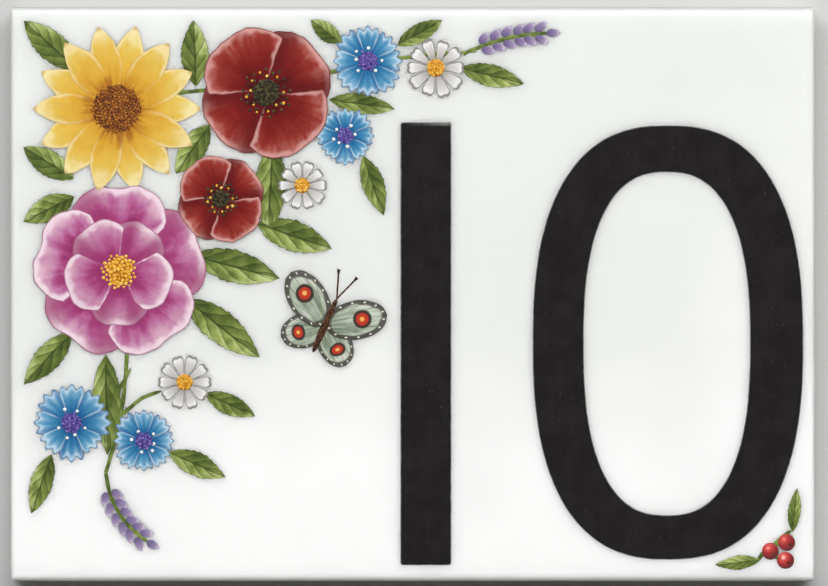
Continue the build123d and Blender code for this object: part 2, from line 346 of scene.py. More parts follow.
def makeStrokeTree():  # a flattened brush stroke along each line of edges, as thick as its points say
    tree, given, made = geometryTree("brushStroke", strokeInputs)
    tube = geo(tree, "CurveToMesh", {
        "Curve": geo(tree, "MeshToCurve", {"Mesh": given["lines"]}),
        "Profile Curve": geo(tree, "CurvePrimitiveCircle", {"Resolution": strokeSides, "Radius": 1.0}),
        "Scale": recall(tree, "thick"),
        "Fill Caps": True,
    })
    x, y, z = placeOf(tree)
    level = given["bed"] + (y - given["bed"]) * given["flat"]
    return finishTree(tree, moveTo(tree, tube, vectorOf(tree, x, level, z)), given, made)


def makeDotTree():  # domed dots in a sunflower spiral between two radii
    tree, given, made = geometryTree("enamelDots", dotInputs)
    inputs = {"Segments": given["segments"], "Rings": given["rings"], "Radius": 1.0}
    ballX, _, ballZ = placeOf(tree)
    uv = vectorOf(tree, ballX * 0.5 + 0.5, ballZ * 0.5 + 0.5, 0)
    ball = store(tree, geo(tree, "MeshUVSphere", inputs), "petalUV", uv, "FLOAT2", "CORNER")
    index, inner, outer = indexOf(tree), given["inner"], given["outer"]
    share = (index + 0.5) / given["count"]
    radius = (inner * inner + share * (outer * outer - inner * inner)).call("SQRT")
    angle = index * goldenTurn + given["seed"]
    x, y, z = parts(tree, given["place"])
    spot = vectorOf(tree, x + radius * angle.call("COSINE"), y, z + radius * angle.call("SINE"))
    points = geo(tree, "Points", {"Count": given["count"], "Position": spot})
    luck = luckOf(tree, index, given["seed"])
    size = ((luck - 0.5) * given["spread"] + 1) * given["size"]
    scale = vectorOf(tree, size, given["height"], size)
    dots = geo(tree, "InstanceOnPoints", {"Points": points, "Instance": ball, "Scale": scale})
    tinted = store(tree, dots, "petalTint", luck, "FLOAT", "INSTANCE")
    return finishTree(tree, tinted, given, made)


def makeFigureTree():  # closed outlines become a painted figure with a hand-cut edge
    tree, given, made = geometryTree("paintedFigure", figureInputs)
    curve = geo(tree, "MeshToCurve", {"Mesh": given["outlines"]})
    fine = geo(tree, "ResampleCurve", {"Curve": curve, "Length": given["spacing"]}, mode="LENGTH")
    x, y, _ = placeOf(tree)
    dx, dy, _ = shakeOf(tree, vectorOf(tree, x, y, given["seed"]), *edgeShake, given["wobble"])
    cut = geo(tree, "SetPosition", {"Geometry": fine, "Offset": vectorOf(tree, dx, dy, 0)})
    fill = geo(tree, "FillCurve", {"Curve": cut}, mode="TRIANGLES")
    solid = raised(tree, fill, vectorOf(tree, 0, 0, given["height"]))["Mesh"]
    upright = geo(tree, "Transform", {
        "Geometry": closeUnder(tree, solid, fill),
        "Translation": vectorOf(tree, 0, given["bed"], 0),
        "Rotation": (math.pi / 2, 0, 0),
    })
    real = geo(tree, "RealizeInstances", {"Geometry": upright})
    feed(tree, geo(tree, "SetMaterial", {"Geometry": real, "Material": given["material"]}), made)
    return tree


ringTree, bladeTree, strokeTree = makeRingTree(), makeBladeTree(), makeStrokeTree()
dotTree, figureTree = makeDotTree(), makeFigureTree()
print("geometry trees built")


# Making pieces

def newPiece(name, points=(), edges=(), **attributes):
    mesh = bpy.data.meshes.new(name)
    mesh.from_pydata(list(points), list(edges), [])
    for key, values in attributes.items():
        mesh.attributes.new(key, "FLOAT", "POINT").data.foreach_set("value", values)
    piece = bpy.data.objects.new(name, mesh)
    bpy.context.scene.collection.objects.link(piece)
    return piece


def addModifier(piece, tree, settings):
    modifier = piece.modifiers.new(tree.name, "NODES")
    modifier.node_group = tree
    settings = {**settings, "material": materials[settings["enamel"]], "seed": float(settings["seed"])}
    for item in tree.interface.items_tree:
        if item.in_out == "INPUT" and item.name in settings:
            value = settings[item.name]
            modifier[item.identifier] = value * unitOf[item.name] if item.name in unitOf else value
    return piece


def settle(piece):  # the evaluated shape becomes a plain mesh
    depsgraph = bpy.context.evaluated_depsgraph_get()
    shown = piece.evaluated_get(depsgraph)
    mesh = bpy.data.meshes.new_from_object(shown, preserve_all_data_layers=True, depsgraph=depsgraph)
    piece.modifiers.clear()
    piece.data = mesh
    return piece


def joinPieces(pieces):
    with bpy.context.temp_override(active_object=pieces[0], selected_editable_objects=pieces):
        bpy.ops.object.join()
    return pieces[0]


def dress(piece, node):
    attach(piece, "root")
    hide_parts(node)
    print("piece", piece.name, "faces", len(piece.data.polygons))


def addRing(piece, place, ring, seed):
    x, z = fromTopLeft(*place)
    return addModifier(piece, ringTree, {**ring, "place": (x, bedLevel, z), "seed": seed})


def addDots(piece, point, dots, seed, reach=1.0):  # shares are of the reach of what the dots lie on
    shares = {key: value * reach for key, value in dots.get("shares", {}).items()}
    place = (point[0], faceLevel - dots["level"] * mm, point[1])
    return addModifier(piece, dotTree, {**dots, **shares, "place": place, "seed": seed})


def paintBlooms(flower):  # the rings of petals make one piece, the dots of the middles another
    petals, middles = [newPiece(name) for name, _, _ in flower["pieces"]]
    seed = flower["seed"]
    for bloom, (place, reach) in enumerate(flower["blooms"]):
        for ring in flower["rings"]:
            addRing(petals, place, {"reach": reach, **ring}, seed)
            seed += 1
        for order, dots in enumerate(flower["dots"], 1):
            own = bloom if dots.get("strewn") else 0  # strewn dots fall differently on each bloom
            addDots(middles, fromTopLeft(*place), dots, order + own, reach * flower["middleShare"])
    for piece, (_, node, slot) in zip((petals, middles), flower["pieces"]):
        dress(settle(piece), node)


def bladePiece(name, rows, shape):  # rows of x, z, heading, span, rise, layer and tint
    xs, zs, *columns = zip(*rows)
    attributes = dict(zip(("heading", "span", "rise", "layer", "tint"), columns))
    piece = newPiece(name, [(x, bedLevel, z) for x, z in zip(xs, zs)], **attributes)
    return settle(addModifier(piece, bladeTree, shape))


def strokePiece(name, strokes, brush):  # each stroke is a list of x, z and half width
    points, edges, thick = [], [], []
    for stroke in strokes:
        first = len(points)
        for x, z, halfWidth in stroke:
            points.append((x, bedLevel, z))
            thick.append(halfWidth)
        edges += [(first + step, first + step + 1) for step in range(len(stroke) - 1)]
    piece = newPiece(name, points, edges, thick=thick)
    return settle(addModifier(piece, strokeTree, {**brush, "bed": bedLevel}))


def arcPoints(start, end, rise, count=24):  # a shallow arc that bulges to the left by its rise, in metres
    dx, dz = end[0] - start[0], end[1] - start[1]
    length = math.hypot(dx, dz)
    points = []
    for step in range(count + 1):
        t = step / count
        bulge = 4 * t * (1 - t) * rise / length
        points.append((start[0] + dx * t - dz * bulge, start[1] + dz * t + dx * bulge))
    return points


# Shading

def paint(hexText):
    channels = [int(hexText[i : i + 2], 16) / 255 for i in (1, 3, 5)]
    linear = [c / 12.92 if c <= 0.04045 else ((c + 0.055) / 1.055) ** 2.4 for c in channels]
    return (*linear, 1.0)


def blend(tree, factor, first, second):
    node = addNode(tree, "ShaderNodeMix", data_type="RGBA")
    for slot, value in ((0, factor), (6, first), (7, second)):
        feed(tree, paint(value) if isinstance(value, str) else value, node.inputs[slot])
    return node.outputs[2]


def overlay(tree, colour, *layers):  # each layer is a share and its colour
    for share, shade in layers:
        colour = blend(tree, share, colour, shade)
    return colour


def rampOf(tree, factor, stops):
    node = addNode(tree, "ShaderNodeValToRGB", {"Fac": factor})
    elements = node.color_ramp.elements
    while len(elements) < len(stops):
        elements.new(0.5)
    for element, (place, colour) in zip(elements, stops):
        element.position, element.color = place, paint(colour)
    return node.outputs["Color"]


def objectPlace(tree):
    return addNode(tree, "ShaderNodeTexCoord").outputs["Object"]


materials = {}  # by name
enamelGloss = {"Specular IOR Level": 0.2}


def newMaterial(name, constants):
    material = materials[name] = bpy.data.materials.new(name)
    material.use_nodes = True
    tree = material.node_tree
    tree.nodes.clear()
    shader = addNode(tree, "ShaderNodeBsdfPrincipled", constants)
    addNode(tree, "ShaderNodeOutputMaterial", {"Surface": shader.outputs[0]})
    return tree, shader


def finishShader(tree, shader, colour, roughness, height, strength=0.2, distance=0.02 * mm):
    feed(tree, colour, shader.inputs["Base Color"])
    feed(tree, roughness, shader.inputs["Roughness"])
    bump = addNode(tree, "ShaderNodeBump", {"Height": height, "Strength": strength, "Distance": distance})
    feed(tree, bump.outputs[0], shader.inputs["Normal"])


def attributeOf(tree, name):
    return Field(tree, addNode(tree, "ShaderNodeAttribute", attribute_name=name).outputs["Fac"])


def makeBrushwork():  # what petals share: place on the petal, streaks, clouds, rim, outline and laps
    tree, given, made = newTree(
        "brushwork",
        "ShaderNodeTree",
        {"streaks": 5.0, "rimWidth": 0.2, "lineWidth": 0.03, "lapAt": 2.0},
        {name: "Float" for name in ("side", "along", "streak", "mottle", "rim", "outline", "lap", "tint")},
    )
    u, v, _ = parts(tree, addNode(tree, "ShaderNodeUVMap", uv_map="petalUV").outputs[0])
    side = u * 2 - 1
    tint = attributeOf(tree, "petalTint")
    place = objectPlace(tree)
    streak = noiseOf(tree, vectorOf(tree, side * given["streaks"], v * 1.1, tint * 29), 1.0)
    mottle = noiseOf(tree, place, 260.0)
    ragged = noiseOf(tree, place, 430.0, 1.0)
    width, line, lapAt = given["rimWidth"], given["lineWidth"], given["lapAt"]
    edge = abs(side).call("MAXIMUM", v)
    rolled = edge + (ragged - 0.5) * width * 1.4
    lapSpan = lapAt - lapFade, lapAt
    lap = attributeOf(tree, "lapFore") * (side * -1).smooth(*lapSpan)
    lap = lap + attributeOf(tree, "lapBack") * side.smooth(*lapSpan)
    found = {
        "side": side,
        "along": v,
        "streak": streak.smooth(0.32, 0.68),
        "mottle": mottle.smooth(0.3, 0.7),
        "rim": rolled.smooth(1 - width, 1 - width * 0.25) * v.smooth(0.1, 0.65),
        "outline": edge.smooth(1 - line, 1 - line * 0.4),
        "lap": lap,
        "tint": tint,
    }
    for name, field in found.items():
        feed(tree, field, made[name])
    return tree


brushwork = makeBrushwork()


def brushFields(tree, look):
    settings = {name: look[name] for name in ("streaks", "rimWidth", "lineWidth", "lapAt") if name in look}
    return {socket.name: Field(tree, socket) for socket in addGroup(tree, brushwork, settings)}


def petalEnamel(name, look):
    tree, shader = newMaterial(name, enamelGloss)
    brush = brushFields(tree, look)
    along, streak, mottle = brush["along"], brush["streak"], brush["mottle"]
    colour = overlay(
        tree,
        rampOf(tree, along + (streak - 0.5) * 0.16 + (mottle - 0.5) * 0.16, look["ramp"]),
        (streak * (1 - along * 0.7) * look["streakShare"], look["streak"]),
        (brush["rim"] * look["rimShare"], look["rim"]),
        (brush["lap"] * look.get("lapShare", 0.0), look["streak"]),
        (brush["outline"] * look["lineShare"], look["line"]),
        (brush["tint"] * 0.12, look["streak"]),
    )
    finishShader(tree, shader, colour, mottle * 0.12 + 0.22, streak * 0.6 + mottle * 0.4)


def leafEnamel(name, look):
    tree, shader = newMaterial(name, enamelGloss)
    brush = brushFields(tree, look)
    side, along, mottle = brush["side"], brush["along"], brush["mottle"]
    lean = along - abs(side) ** 0.8 * look["lean"]
    panel = (lean * look["veins"] + brush["tint"]).call("FRACT")  # 0 just past a side vein, 1 at the next
    lit = side.smooth(-0.15, 0.15)
    sideVein = abs(panel - 0.5).smooth(0.38, 0.47) * (1 - abs(side).smooth(0.6, 0.95))
    midrib = 1 - abs(side).smooth(0.04, 0.1)
    tone = panel * 0.3 + abs(side) * 0.1 + lit * 0.26 + mottle * 0.36 + along * 0.16 - 0.06
    colour = overlay(
        tree,
        rampOf(tree, tone, look["ramp"]),
        (sideVein * 0.55, look["vein"]),
        (midrib * 0.8, look["vein"]),
        (brush["rim"] * lit * mottle * 0.5, look["rim"]),
        (brush["outline"] * 0.5, look["vein"]),
    )
    finishShader(tree, shader, colour, mottle * 0.12 + 0.24, mottle - midrib * 0.5, strength=0.25)


def speckledEnamel(name, stops, scale, roughness):  # strokes, dots and cushions, mottled over their own tint
    tree, shader = newMaterial(name, {"Specular IOR Level": 0.25})
    grain = noiseOf(tree, objectPlace(tree), scale, 3.0).smooth(0.3, 0.7)
    colour = rampOf(tree, grain * 0.75 + attributeOf(tree, "petalTint") * 0.25, stops)
    finishShader(tree, shader, colour, grain * 0.12 + roughness, grain)


petalLooks = {
    "roseOuter": {
        "ramp": [
            (0.35, "#852755"), (0.54, "#A24177"), (0.68, "#B86B99"), (0.84, "#CB97B2"), (1.0, "#E2B9CA"),
        ],
        "streaks": 5.0, "streak": "#99386A", "streakShare": 0.3,
        "rim": "#F2DFE7", "rimShare": 0.85, "rimWidth": 0.14,
        "line": "#8E3A66", "lineShare": 0.7, "lineWidth": 0.022, "lapAt": 0.565, "lapShare": 0.8,
    },
    "roseInner": {
        "ramp": [
            (0.15, "#852755"), (0.38, "#9F3D73"), (0.58, "#B86997"), (0.8, "#CA94AF"), (1.0, "#E2B9CA"),
        ],
        "streaks": 5.0, "streak": "#943366", "streakShare": 0.35,
        "rim": "#F2DFE7", "rimShare": 0.85, "rimWidth": 0.17,
        "line": "#8E3A66", "lineShare": 0.7, "lineWidth": 0.03, "lapAt": 0.44, "lapShare": 0.8,
    },
    "sunflowerYellow": {
        "ramp": [
            (0.1, "#A06420"), (0.26, "#D29F34"), (0.48, "#E0B548"), (0.72, "#E3C45E"), (1.0, "#EBDA8E"),
        ],
        "streaks": 3.5, "streak": "#C4882A", "streakShare": 0.4,
        "rim": "#F4E8B6", "rimShare": 0.6, "rimWidth": 0.3,
        "line": "#AE7C28", "lineShare": 0.5, "lineWidth": 0.07,
    },
    "poppyRed": {
        "ramp": [(0.12, "#33090E"), (0.3, "#651413"), (0.55, "#7E1E1B"), (0.8, "#96372F"), (1.0, "#BC6D65")],
        "streaks": 9.0, "streak": "#5C1213", "streakShare": 0.45,
        "rim": "#DCA9A2", "rimShare": 0.75, "rimWidth": 0.12,
        "line": "#5E1616", "lineShare": 0.7, "lineWidth": 0.025, "lapAt": 0.636, "lapShare": 0.85,
    },
    "cornflowerBlue": {
        "ramp": [(0.0, "#134A78"), (0.3, "#266B9A"), (0.6, "#4A8DB3"), (0.85, "#82B4D0"), (1.0, "#AED3E6")],
        "streaks": 3.5, "streak": "#1B568C", "streakShare": 0.45,
        "rim": "#D2E5EF", "rimShare": 0.55, "rimWidth": 0.22,
        "line": "#1C4F80", "lineShare": 0.65, "lineWidth": 0.08, "lapAt": 0.875, "lapShare": 0.6,
    },
    "daisyWhite": {
        "ramp": [(0.1, "#A19A93"), (0.35, "#C6C2BE"), (0.7, "#DEDCDA"), (1.0, "#F1F1F0")],
        "streaks": 3.0, "streak": "#A39C95", "streakShare": 0.5,
        "rim": "#F6F6F5", "rimShare": 0.5, "rimWidth": 0.35,
        "line": "#7F7972", "lineShare": 0.95, "lineWidth": 0.14,
    },
    "lavenderViolet": {
        "ramp": [(0.0, "#645A80"), (0.4, "#85759B"), (0.8, "#AA98B6"), (1.0, "#D2C6DA")],
        "streaks": 2.5, "streak": "#62547F", "streakShare": 0.45,
        "rim": "#E4DCEA", "rimShare": 0.5, "rimWidth": 0.3,
        "line": "#554870", "lineShare": 0.6, "lineWidth": 0.12,
    },
}
leafLook = {
    "ramp": [(0.1, "#3A461D"), (0.35, "#57662F"), (0.58, "#71803F"), (0.8, "#97A55C"), (1.0, "#C4CE8C")],
    "streaks": 5.0, "rimWidth": 0.25, "lineWidth": 0.1,
    "vein": "#323D1A", "rim": "#CDD6A0", "veins": 4.6, "lean": 0.3,
}
speckles = {  # colours, scale of the grain and roughness
    "stemGreen": ([(0.1, "#4A5A28"), (0.5, "#6C7D3A"), (0.9, "#98A65A")], 500.0, 0.24),
    "stamenGold": ([(0.1, "#9A5A18"), (0.45, "#C98322"), (0.9, "#F0C04A")], 1500.0, 0.2),
    "antherGold": ([(0.0, "#C77F1C"), (0.5, "#E8AE35"), (1.0, "#F8D77A")], 2500.0, 0.16),
    "seedBrown": ([(0.1, "#3A1D0E"), (0.5, "#5E3115"), (0.9, "#8A4D1D")], 1500.0, 0.22),
    "seedTip": ([(0.0, "#4A2510"), (0.55, "#8A4C1B"), (1.0, "#C98A2E")], 2500.0, 0.18),
    "podDark": ([(0.1, "#1C1512"), (0.5, "#35301F"), (0.9, "#5A5A30")], 1800.0, 0.2),
    "tuftViolet": ([(0.1, "#3A2C6E"), (0.5, "#5B4A95"), (0.9, "#8F7FBF")], 1800.0, 0.2),
    "dotWhite": ([(0.0, "#E9EAE6"), (0.6, "#F4F5F2"), (1.0, "#FAFAF8")], 2500.0, 0.12),
    "bodyBrown": ([(0.1, "#2A1A12"), (0.5, "#4A2E1C"), (0.9, "#7A5230")], 1500.0, 0.22),
}
for name, look in petalLooks.items():
    petalEnamel(name, look)
leafEnamel("leafGreen", leafLook)
for name, look in speckles.items():
    speckledEnamel(name, *look)
print("garland enamels mixed")


# Tile

glaze = {
    "white": [(0.1, "#E6E8E5"), (0.4, "#EAECE9"), (0.7, "#FBFBFA")],
    "clay": [(0.15, "#C9BBA4"), (0.5, "#D8CCB7"), (0.85, "#E4DBCA")],
    # painted shade in the recesses of the back
    "recess": "#8A7A62",
    "recessShare": 0.3,
    "recessSpan": (-0.15 * mm, -0.7 * mm),
    "paintedFootLight": (15 * mm, -60 * mm),  # painted light: the glaze is whiter towards the foot
    "margin": (55 * mm, 88 * mm),  # and a little whiter towards the right
    "body": "#1E1E1D",  # painted shade over the rounded rim, blended towards this near black by these shares and reaches
    "endShade": 0.5,
    "endReach": 1.3 * mm,
    "sides": 0.24,
    "sideReach": 0.8 * mm,
    "arrisDepth": (1.8 * mm, 0.9 * mm),
    "line": -1.3 * mm,
    "lineWander": 0.8 * mm,
    "lineWidth": 0.25 * mm,
    "scatter": {
        "Subsurface Weight": 1.0, "Subsurface Scale": 5.0 * mm, "Subsurface Radius": (1.0, 1.0, 1.0),
    },
    "backLevel": -0.9 * mm,  # behind it, with the bevel and recesses, lies bare clay
    "cornerLength": 4.0 * mm,
    "cutReach": 1e-7,
    "sharpAngle": 40.0,
    "planeShare": 0.9999,
    "normalWeight": 100,
}


def makeGlaze(name, scatter):  # white glaze on the face and edges, bare clay behind a wandering glaze line
    tree, shader = newMaterial(name, {"Coat Roughness": 0.05, **scatter})
    shader.subsurface_method = "BURLEY"
    place = objectPlace(tree)
    across, depth, level = parts(tree, place)
    cloud = noiseOf(tree, place, 22.0)
    wander = noiseOf(tree, place, 160.0, 3.0)
    grit = noiseOf(tree, place, 2600.0, 4.0)
    lump = noiseOf(tree, place, 420.0, 3.0)
    paintedFootLight, margin = level.smooth(*glaze["paintedFootLight"]), across.smooth(*glaze["margin"])
    line = glaze["line"]
    bare = (depth + (wander - 0.5) * glaze["lineWander"]).smooth(line, line + glaze["lineWidth"])
    # painted light: the white grows lighter towards the foot and the right
    white = rampOf(tree, cloud * 0.5 + paintedFootLight * 0.5 + margin * 0.18, glaze["white"])
    # painted shade: the glaze darkens towards near black over the rounded rim, most at the top and bottom
    endShade = (tileHigh.z - abs(level)).smooth(glaze["endReach"], 0) * glaze["endShade"]
    sides = (tileHigh.x - abs(across)).smooth(glaze["sideReach"], 0) * glaze["sides"]
    arrisSpan = [faceLevel + reach for reach in glaze["arrisDepth"]]
    edgeShade = endShade.call("MAXIMUM", sides) * depth.smooth(*arrisSpan)
    white = blend(tree, edgeShade, white, glaze["body"])
    clay = rampOf(tree, lump * 0.6 + grit * 0.4, glaze["clay"])
    # painted shade: the clay darkens towards the recess floors
    paintedRecessShade = depth.smooth(*glaze["recessSpan"]) * glaze["recessShare"]
    clay = blend(tree, paintedRecessShade, clay, glaze["recess"])
    roughness = bare * 0.68 + 0.12 + (lump - 0.5) * 0.04
    height = grit * bare + lump * bare * 2 + cloud * 0.8
    colour = blend(tree, bare, white, clay)
    finishShader(tree, shader, colour, roughness, height, strength=0.5, distance=0.12 * mm)
    feed(tree, (1 - bare) * 0.6, shader.inputs["Coat Weight"])


def tilePiece(name, node, coats):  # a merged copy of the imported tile, shaded smoothly
    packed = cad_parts[node]
    piece = newPiece(name)
    piece.data = packed.data.copy()
    piece.data.transform(packed.matrix_world)
    piece.data.materials.clear()
    for coat in coats:
        piece.data.materials.append(materials[coat])
    shape = bmesh.new()
    shape.from_mesh(piece.data)
    bmesh.ops.remove_doubles(shape, verts=shape.verts, dist=weld)
    length = glaze["cornerLength"]
    for spot, across in (  # cuts that keep the blend of two cushions near their corner
        ((tileLow.x + length, 0, 0), (1, 0, 0)),
        ((tileHigh.x - length, 0, 0), (1, 0, 0)),
        ((0, 0, tileLow.z + length), (0, 0, 1)),
        ((0, 0, tileHigh.z - length), (0, 0, 1)),
    ):
        everything = [*shape.verts, *shape.edges, *shape.faces]
        bmesh.ops.bisect_plane(
            shape, geom=everything, dist=glaze["cutReach"], plane_co=spot, plane_no=across
        )
    bmesh.ops.dissolve_degenerate(shape, edges=shape.edges, dist=weld)
    for face in shape.faces:
        face.material_index = int(face.calc_center_median().y > glaze["backLevel"])
    shape.to_mesh(piece.data)
    shape.free()
    for face in piece.data.polygons:  # the face, the back and the recess floors stay plane
        face.use_smooth = abs(face.normal.y) < glaze["planeShare"]
    piece.data.set_sharp_from_angle(angle=math.radians(glaze["sharpAngle"]))
    weighted = piece.modifiers.new("weighted", "WEIGHTED_NORMAL")
    weighted.keep_sharp, weighted.weight = True, glaze["normalWeight"]
    return settle(piece)


makeGlaze("tileGlaze", glaze["scatter"])
makeGlaze("tileClay", {})
dress(tilePiece("tileBody", "tile", ("tileGlaze", "tileClay")), "tile")


# Number

figures = {
    "cut": {"spacing": 0.45, "wobble": 0.11},
    "core": {
        "enamel": "numberBlack", "tones": ("#1C1A1B", "#232122"), "grow": -0.1, "height": 0.13, "seed": 1,
    },
    "fringe": {
        "enamel": "numberFringe", "tones": ("#6F6C6A", "#9A9794"), "grow": 0.07, "height": 0.05, "seed": 2,
    },
    "corner": 0.4,
    "sideStroke": 11.4,
    "endStroke": 10.0,
    "squareness": 2.5,
    "strays": [  # of the zero's two rims: right, up, wider and taller
        (-0.12, 0.28, -0.08, -0.21),
        (-0.37, 0.0, -0.1, -0.17),
    ],
    "dust": "#8B8884",
    "dryTouch": {"tone": "#8E8B88", "reach": 1.0, "fade": 0.1, "past": 1.0},  # at the top right of the one
}


def numberEnamel(name, deep, thin):
    tree, shader = newMaterial(name, {"Specular IOR Level": 0.08})
    place = objectPlace(tree)
    x, _, z = parts(tree, place)
    strokes = noiseOf(tree, vectorOf(tree, x * 900, 0, z * 90), 1.0).smooth(0.3, 0.7)
    mottle = noiseOf(tree, place, 240.0, 3.0).smooth(0.3, 0.7)
    dust = noiseOf(tree, place, 2300.0, 1.0).smooth(0.74, 0.8)
    (low, high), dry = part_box("numeral_one"), figures["dryTouch"]
    touch = z.smooth(high.z - dry["reach"] * mm, high.z - dry["fade"] * mm)
    touch = touch * x.smooth(low.x, high.x) * (1 - x.smooth(high.x, high.x + dry["past"] * mm))
    colour = overlay(
        tree,
        rampOf(tree, strokes * 0.3 + mottle * 0.7, [(0.1, deep), (0.9, thin)]),
        (dust * 0.5, figures["dust"]),
        (touch * (strokes * 0.5 + 0.4), dry["tone"]),
    )
    finishShader(tree, shader, colour, mottle * 0.1 + 0.42, strokes * 0.5 + mottle * 0.5)


def barOutline(low, high, corner, count=4):
    points = []
    for cx, cz, first in (
        (high.x - corner, high.z - corner, 0),
        (low.x + corner, high.z - corner, 90),
        (low.x + corner, low.z + corner, 180),
        (high.x - corner, low.z + corner, 270),
    ):
        for step in range(count + 1):
            angle = math.radians(first + step * 90 / count)
            points.append((cx + corner * math.cos(angle), cz + corner * math.sin(angle)))
    return points


def ovalOutline(middle, halfWidth, halfHeight, stray, count=180):
    right, up, wider, taller = [value * mm for value in stray]
    centre = middle.copy()
    centre.x, centre.z = middle.x + right, middle.z + up
    power = 2 / figures["squareness"]
    points = []
    for step in range(count):
        angle = 2 * math.pi * step / count
        sides = math.cos(angle), math.sin(angle)
        across, along = [math.copysign(abs(side) ** power, side) for side in sides]
        points.append((centre.x + across * (halfWidth + wider), centre.z + along * (halfHeight + taller)))
    return points


def figureOutlines(node, grow):
    low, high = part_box(node)
    if node == "numeral_one":
        low.x, low.z, high.x, high.z = low.x - grow, low.z - grow, high.x + grow, high.z + grow
        return [barOutline(low, high, figures["corner"] * mm)]
    middle, half = (low + high) / 2, (high - low) / 2
    outer, inner = figures["strays"]
    innerWidth, innerHeight = half.x - figures["sideStroke"] * mm, half.z - figures["endStroke"] * mm
    return [
        ovalOutline(middle, half.x + grow, half.z + grow, outer),
        ovalOutline(middle, innerWidth - grow, innerHeight - grow, inner),
    ]


def figurePiece(name, node, coat):
    points, edges = [], []
    for outline in figureOutlines(node, coat["grow"] * mm):
        first, count = len(points), len(outline)
        points += [(x, z, 0.0) for x, z in outline]
        edges += [(first + step, first + (step + 1) % count) for step in range(count)]
    settings = {**figures["cut"], **coat, "bed": bedLevel}
    return settle(addModifier(newPiece(name, points, edges), figureTree, settings))


for coat in (figures["core"], figures["fringe"]):
    numberEnamel(coat["enamel"], *coat["tones"])
for node, name in (("numeral_one", "figureOne"), ("numeral_zero", "figureZero")):
    core = figurePiece(name, node, figures["core"])
    fringe = figurePiece(name + "Fringe", node, figures["fringe"])
    dress(joinPieces([core, fringe]), node)


# Rose

rose = {
    "pieces": [("roseBloom", "rose_petals", "pink_enamel"), ("roseMiddle", "rose_centre", "gold_enamel")],
    "blooms": [((24.0, 58.5), 19.5)],  # place and reach
    "seed": 11,
    "rings": [
        {"enamel": "roseOuter", "petals": 5, "turn": 18.0, "halfAngle": 46.0, "waist": 0.3, "drop": 0.29,
         "power": 3.6, "notch": 0.05, "start": 0.2, "layer": 0.17, "layerStep": 0.07, "columns": 27,
         "rows": 21, "wobble": 0.6, "laps": 1.0},
        {"enamel": "roseInner", "petals": 5, "turn": 54.0, "reach": 12.5, "halfAngle": 50.0, "waist": 0.3,
         "drop": 0.32, "power": 2.2, "notch": 0.05, "start": 0.08, "layer": 0.26, "layerStep": 0.05,
         "columns": 25, "rows": 19, "wobble": 0.5, "laps": 1.0},
    ],
    "middleShare": 1.0,
    "dots": [
        {"enamel": "stamenGold", "level": 0.22, "size": 3.6, "height": 0.16, "segments": 40, "rings": 12,
         "spread": 0.0, "wobble": 0.3},
        {"enamel": "antherGold", "level": 0.34, "count": 60, "inner": 0.4, "outer": 3.9, "size": 0.34,
         "height": 0.1},
    ],
}
paintBlooms(rose)


# Sunflower

sunflower = {
    "place": (23.5, 22.5),
    "petals": 14,
    "base": 3.0,
    "reach": 18.5,
    "rise": 3.5,
    "layer": 0.15,
    "layerStep": 0.07,
    "shape": {"enamel": "sunflowerYellow", "columns": 15, "rows": 31, "plump": 0.85, "skew": 0.9,
              "dome": 0.25, "wobble": 0.3, "seed": 21},
    "dots": [
        {"enamel": "seedBrown", "level": 0.15, "size": 5.4, "height": 0.2, "segments": 48, "rings": 12,
         "spread": 0.0, "wobble": 0.3},
        {"enamel": "seedTip", "level": 0.31, "count": 190, "inner": 0.1, "outer": 5.3, "size": 0.33,
         "height": 0.1},
    ],
}
sunflowerSpot = fromTopLeft(*sunflower["place"])


def sunflowerRows():
    rows = []
    for petal in range(sunflower["petals"]):
        heading = 2 * math.pi * petal / sunflower["petals"]
        order = petal * goldenShare % 1
        rows.append((
            sunflowerSpot[0] + sunflower["base"] * mm * math.cos(heading),
            sunflowerSpot[1] + sunflower["base"] * mm * math.sin(heading),
            heading,
            (sunflower["reach"] - sunflower["base"]) * mm,
            sunflower["rise"] * mm,
            sunflower["layer"] + sunflower["layerStep"] * order,
            order,
        ))
    return rows


sunflowerBloom = bladePiece("sunflowerBloom", sunflowerRows(), sunflower["shape"])
dress(sunflowerBloom, "sunflower_petals")
sunflowerMiddle = newPiece("sunflowerMiddle")
for order, dots in enumerate(sunflower["dots"], 1):
    addDots(sunflowerMiddle, sunflowerSpot, dots, order)
dress(settle(sunflowerMiddle), "sunflower_centre")


# Poppies

poppyPair = {
    "enamel": "poppyRed", "petals": 2, "halfAngle": 55.0, "waist": 0.2, "drop": 0.18, "power": 2.6,
    "notch": 0.03, "start": 0.06, "layerStep": 0.02, "columns": 31, "rows": 21, "wobble": 0.6,
}
poppy = {
    "pieces": [
        ("poppyBlooms", "poppy_petals", "red_enamel"),
        ("poppyMiddles", "poppy_centres", "brown_enamel"),
    ],
    "blooms": [((56.5, 19.0), 15.0), ((46.5, 42.5), 10.0)],
    "seed": 31,
    "rings": [
        {**poppyPair, "turn": 38.0, "layer": 0.23, "under": 1.0},
        {**poppyPair, "turn": 128.0, "layer": 0.3},
    ],
    "middleShare": 0.2,
    "dots": [
        {"enamel": "podDark", "level": 0.3, "shares": {"size": 1.0}, "height": 0.12, "segments": 32,
         "rings": 10, "spread": 0.0, "wobble": 0.2},
        {"enamel": "podDark", "level": 0.33, "count": 34, "shares": {"inner": 0.9, "outer": 1.9},
         "size": 0.3, "height": 0.08},
        {"enamel": "antherGold", "level": 0.33, "count": 12, "shares": {"inner": 1.1, "outer": 1.6},
         "size": 0.3, "height": 0.09},
    ],
}
paintBlooms(poppy)


# Cornflowers

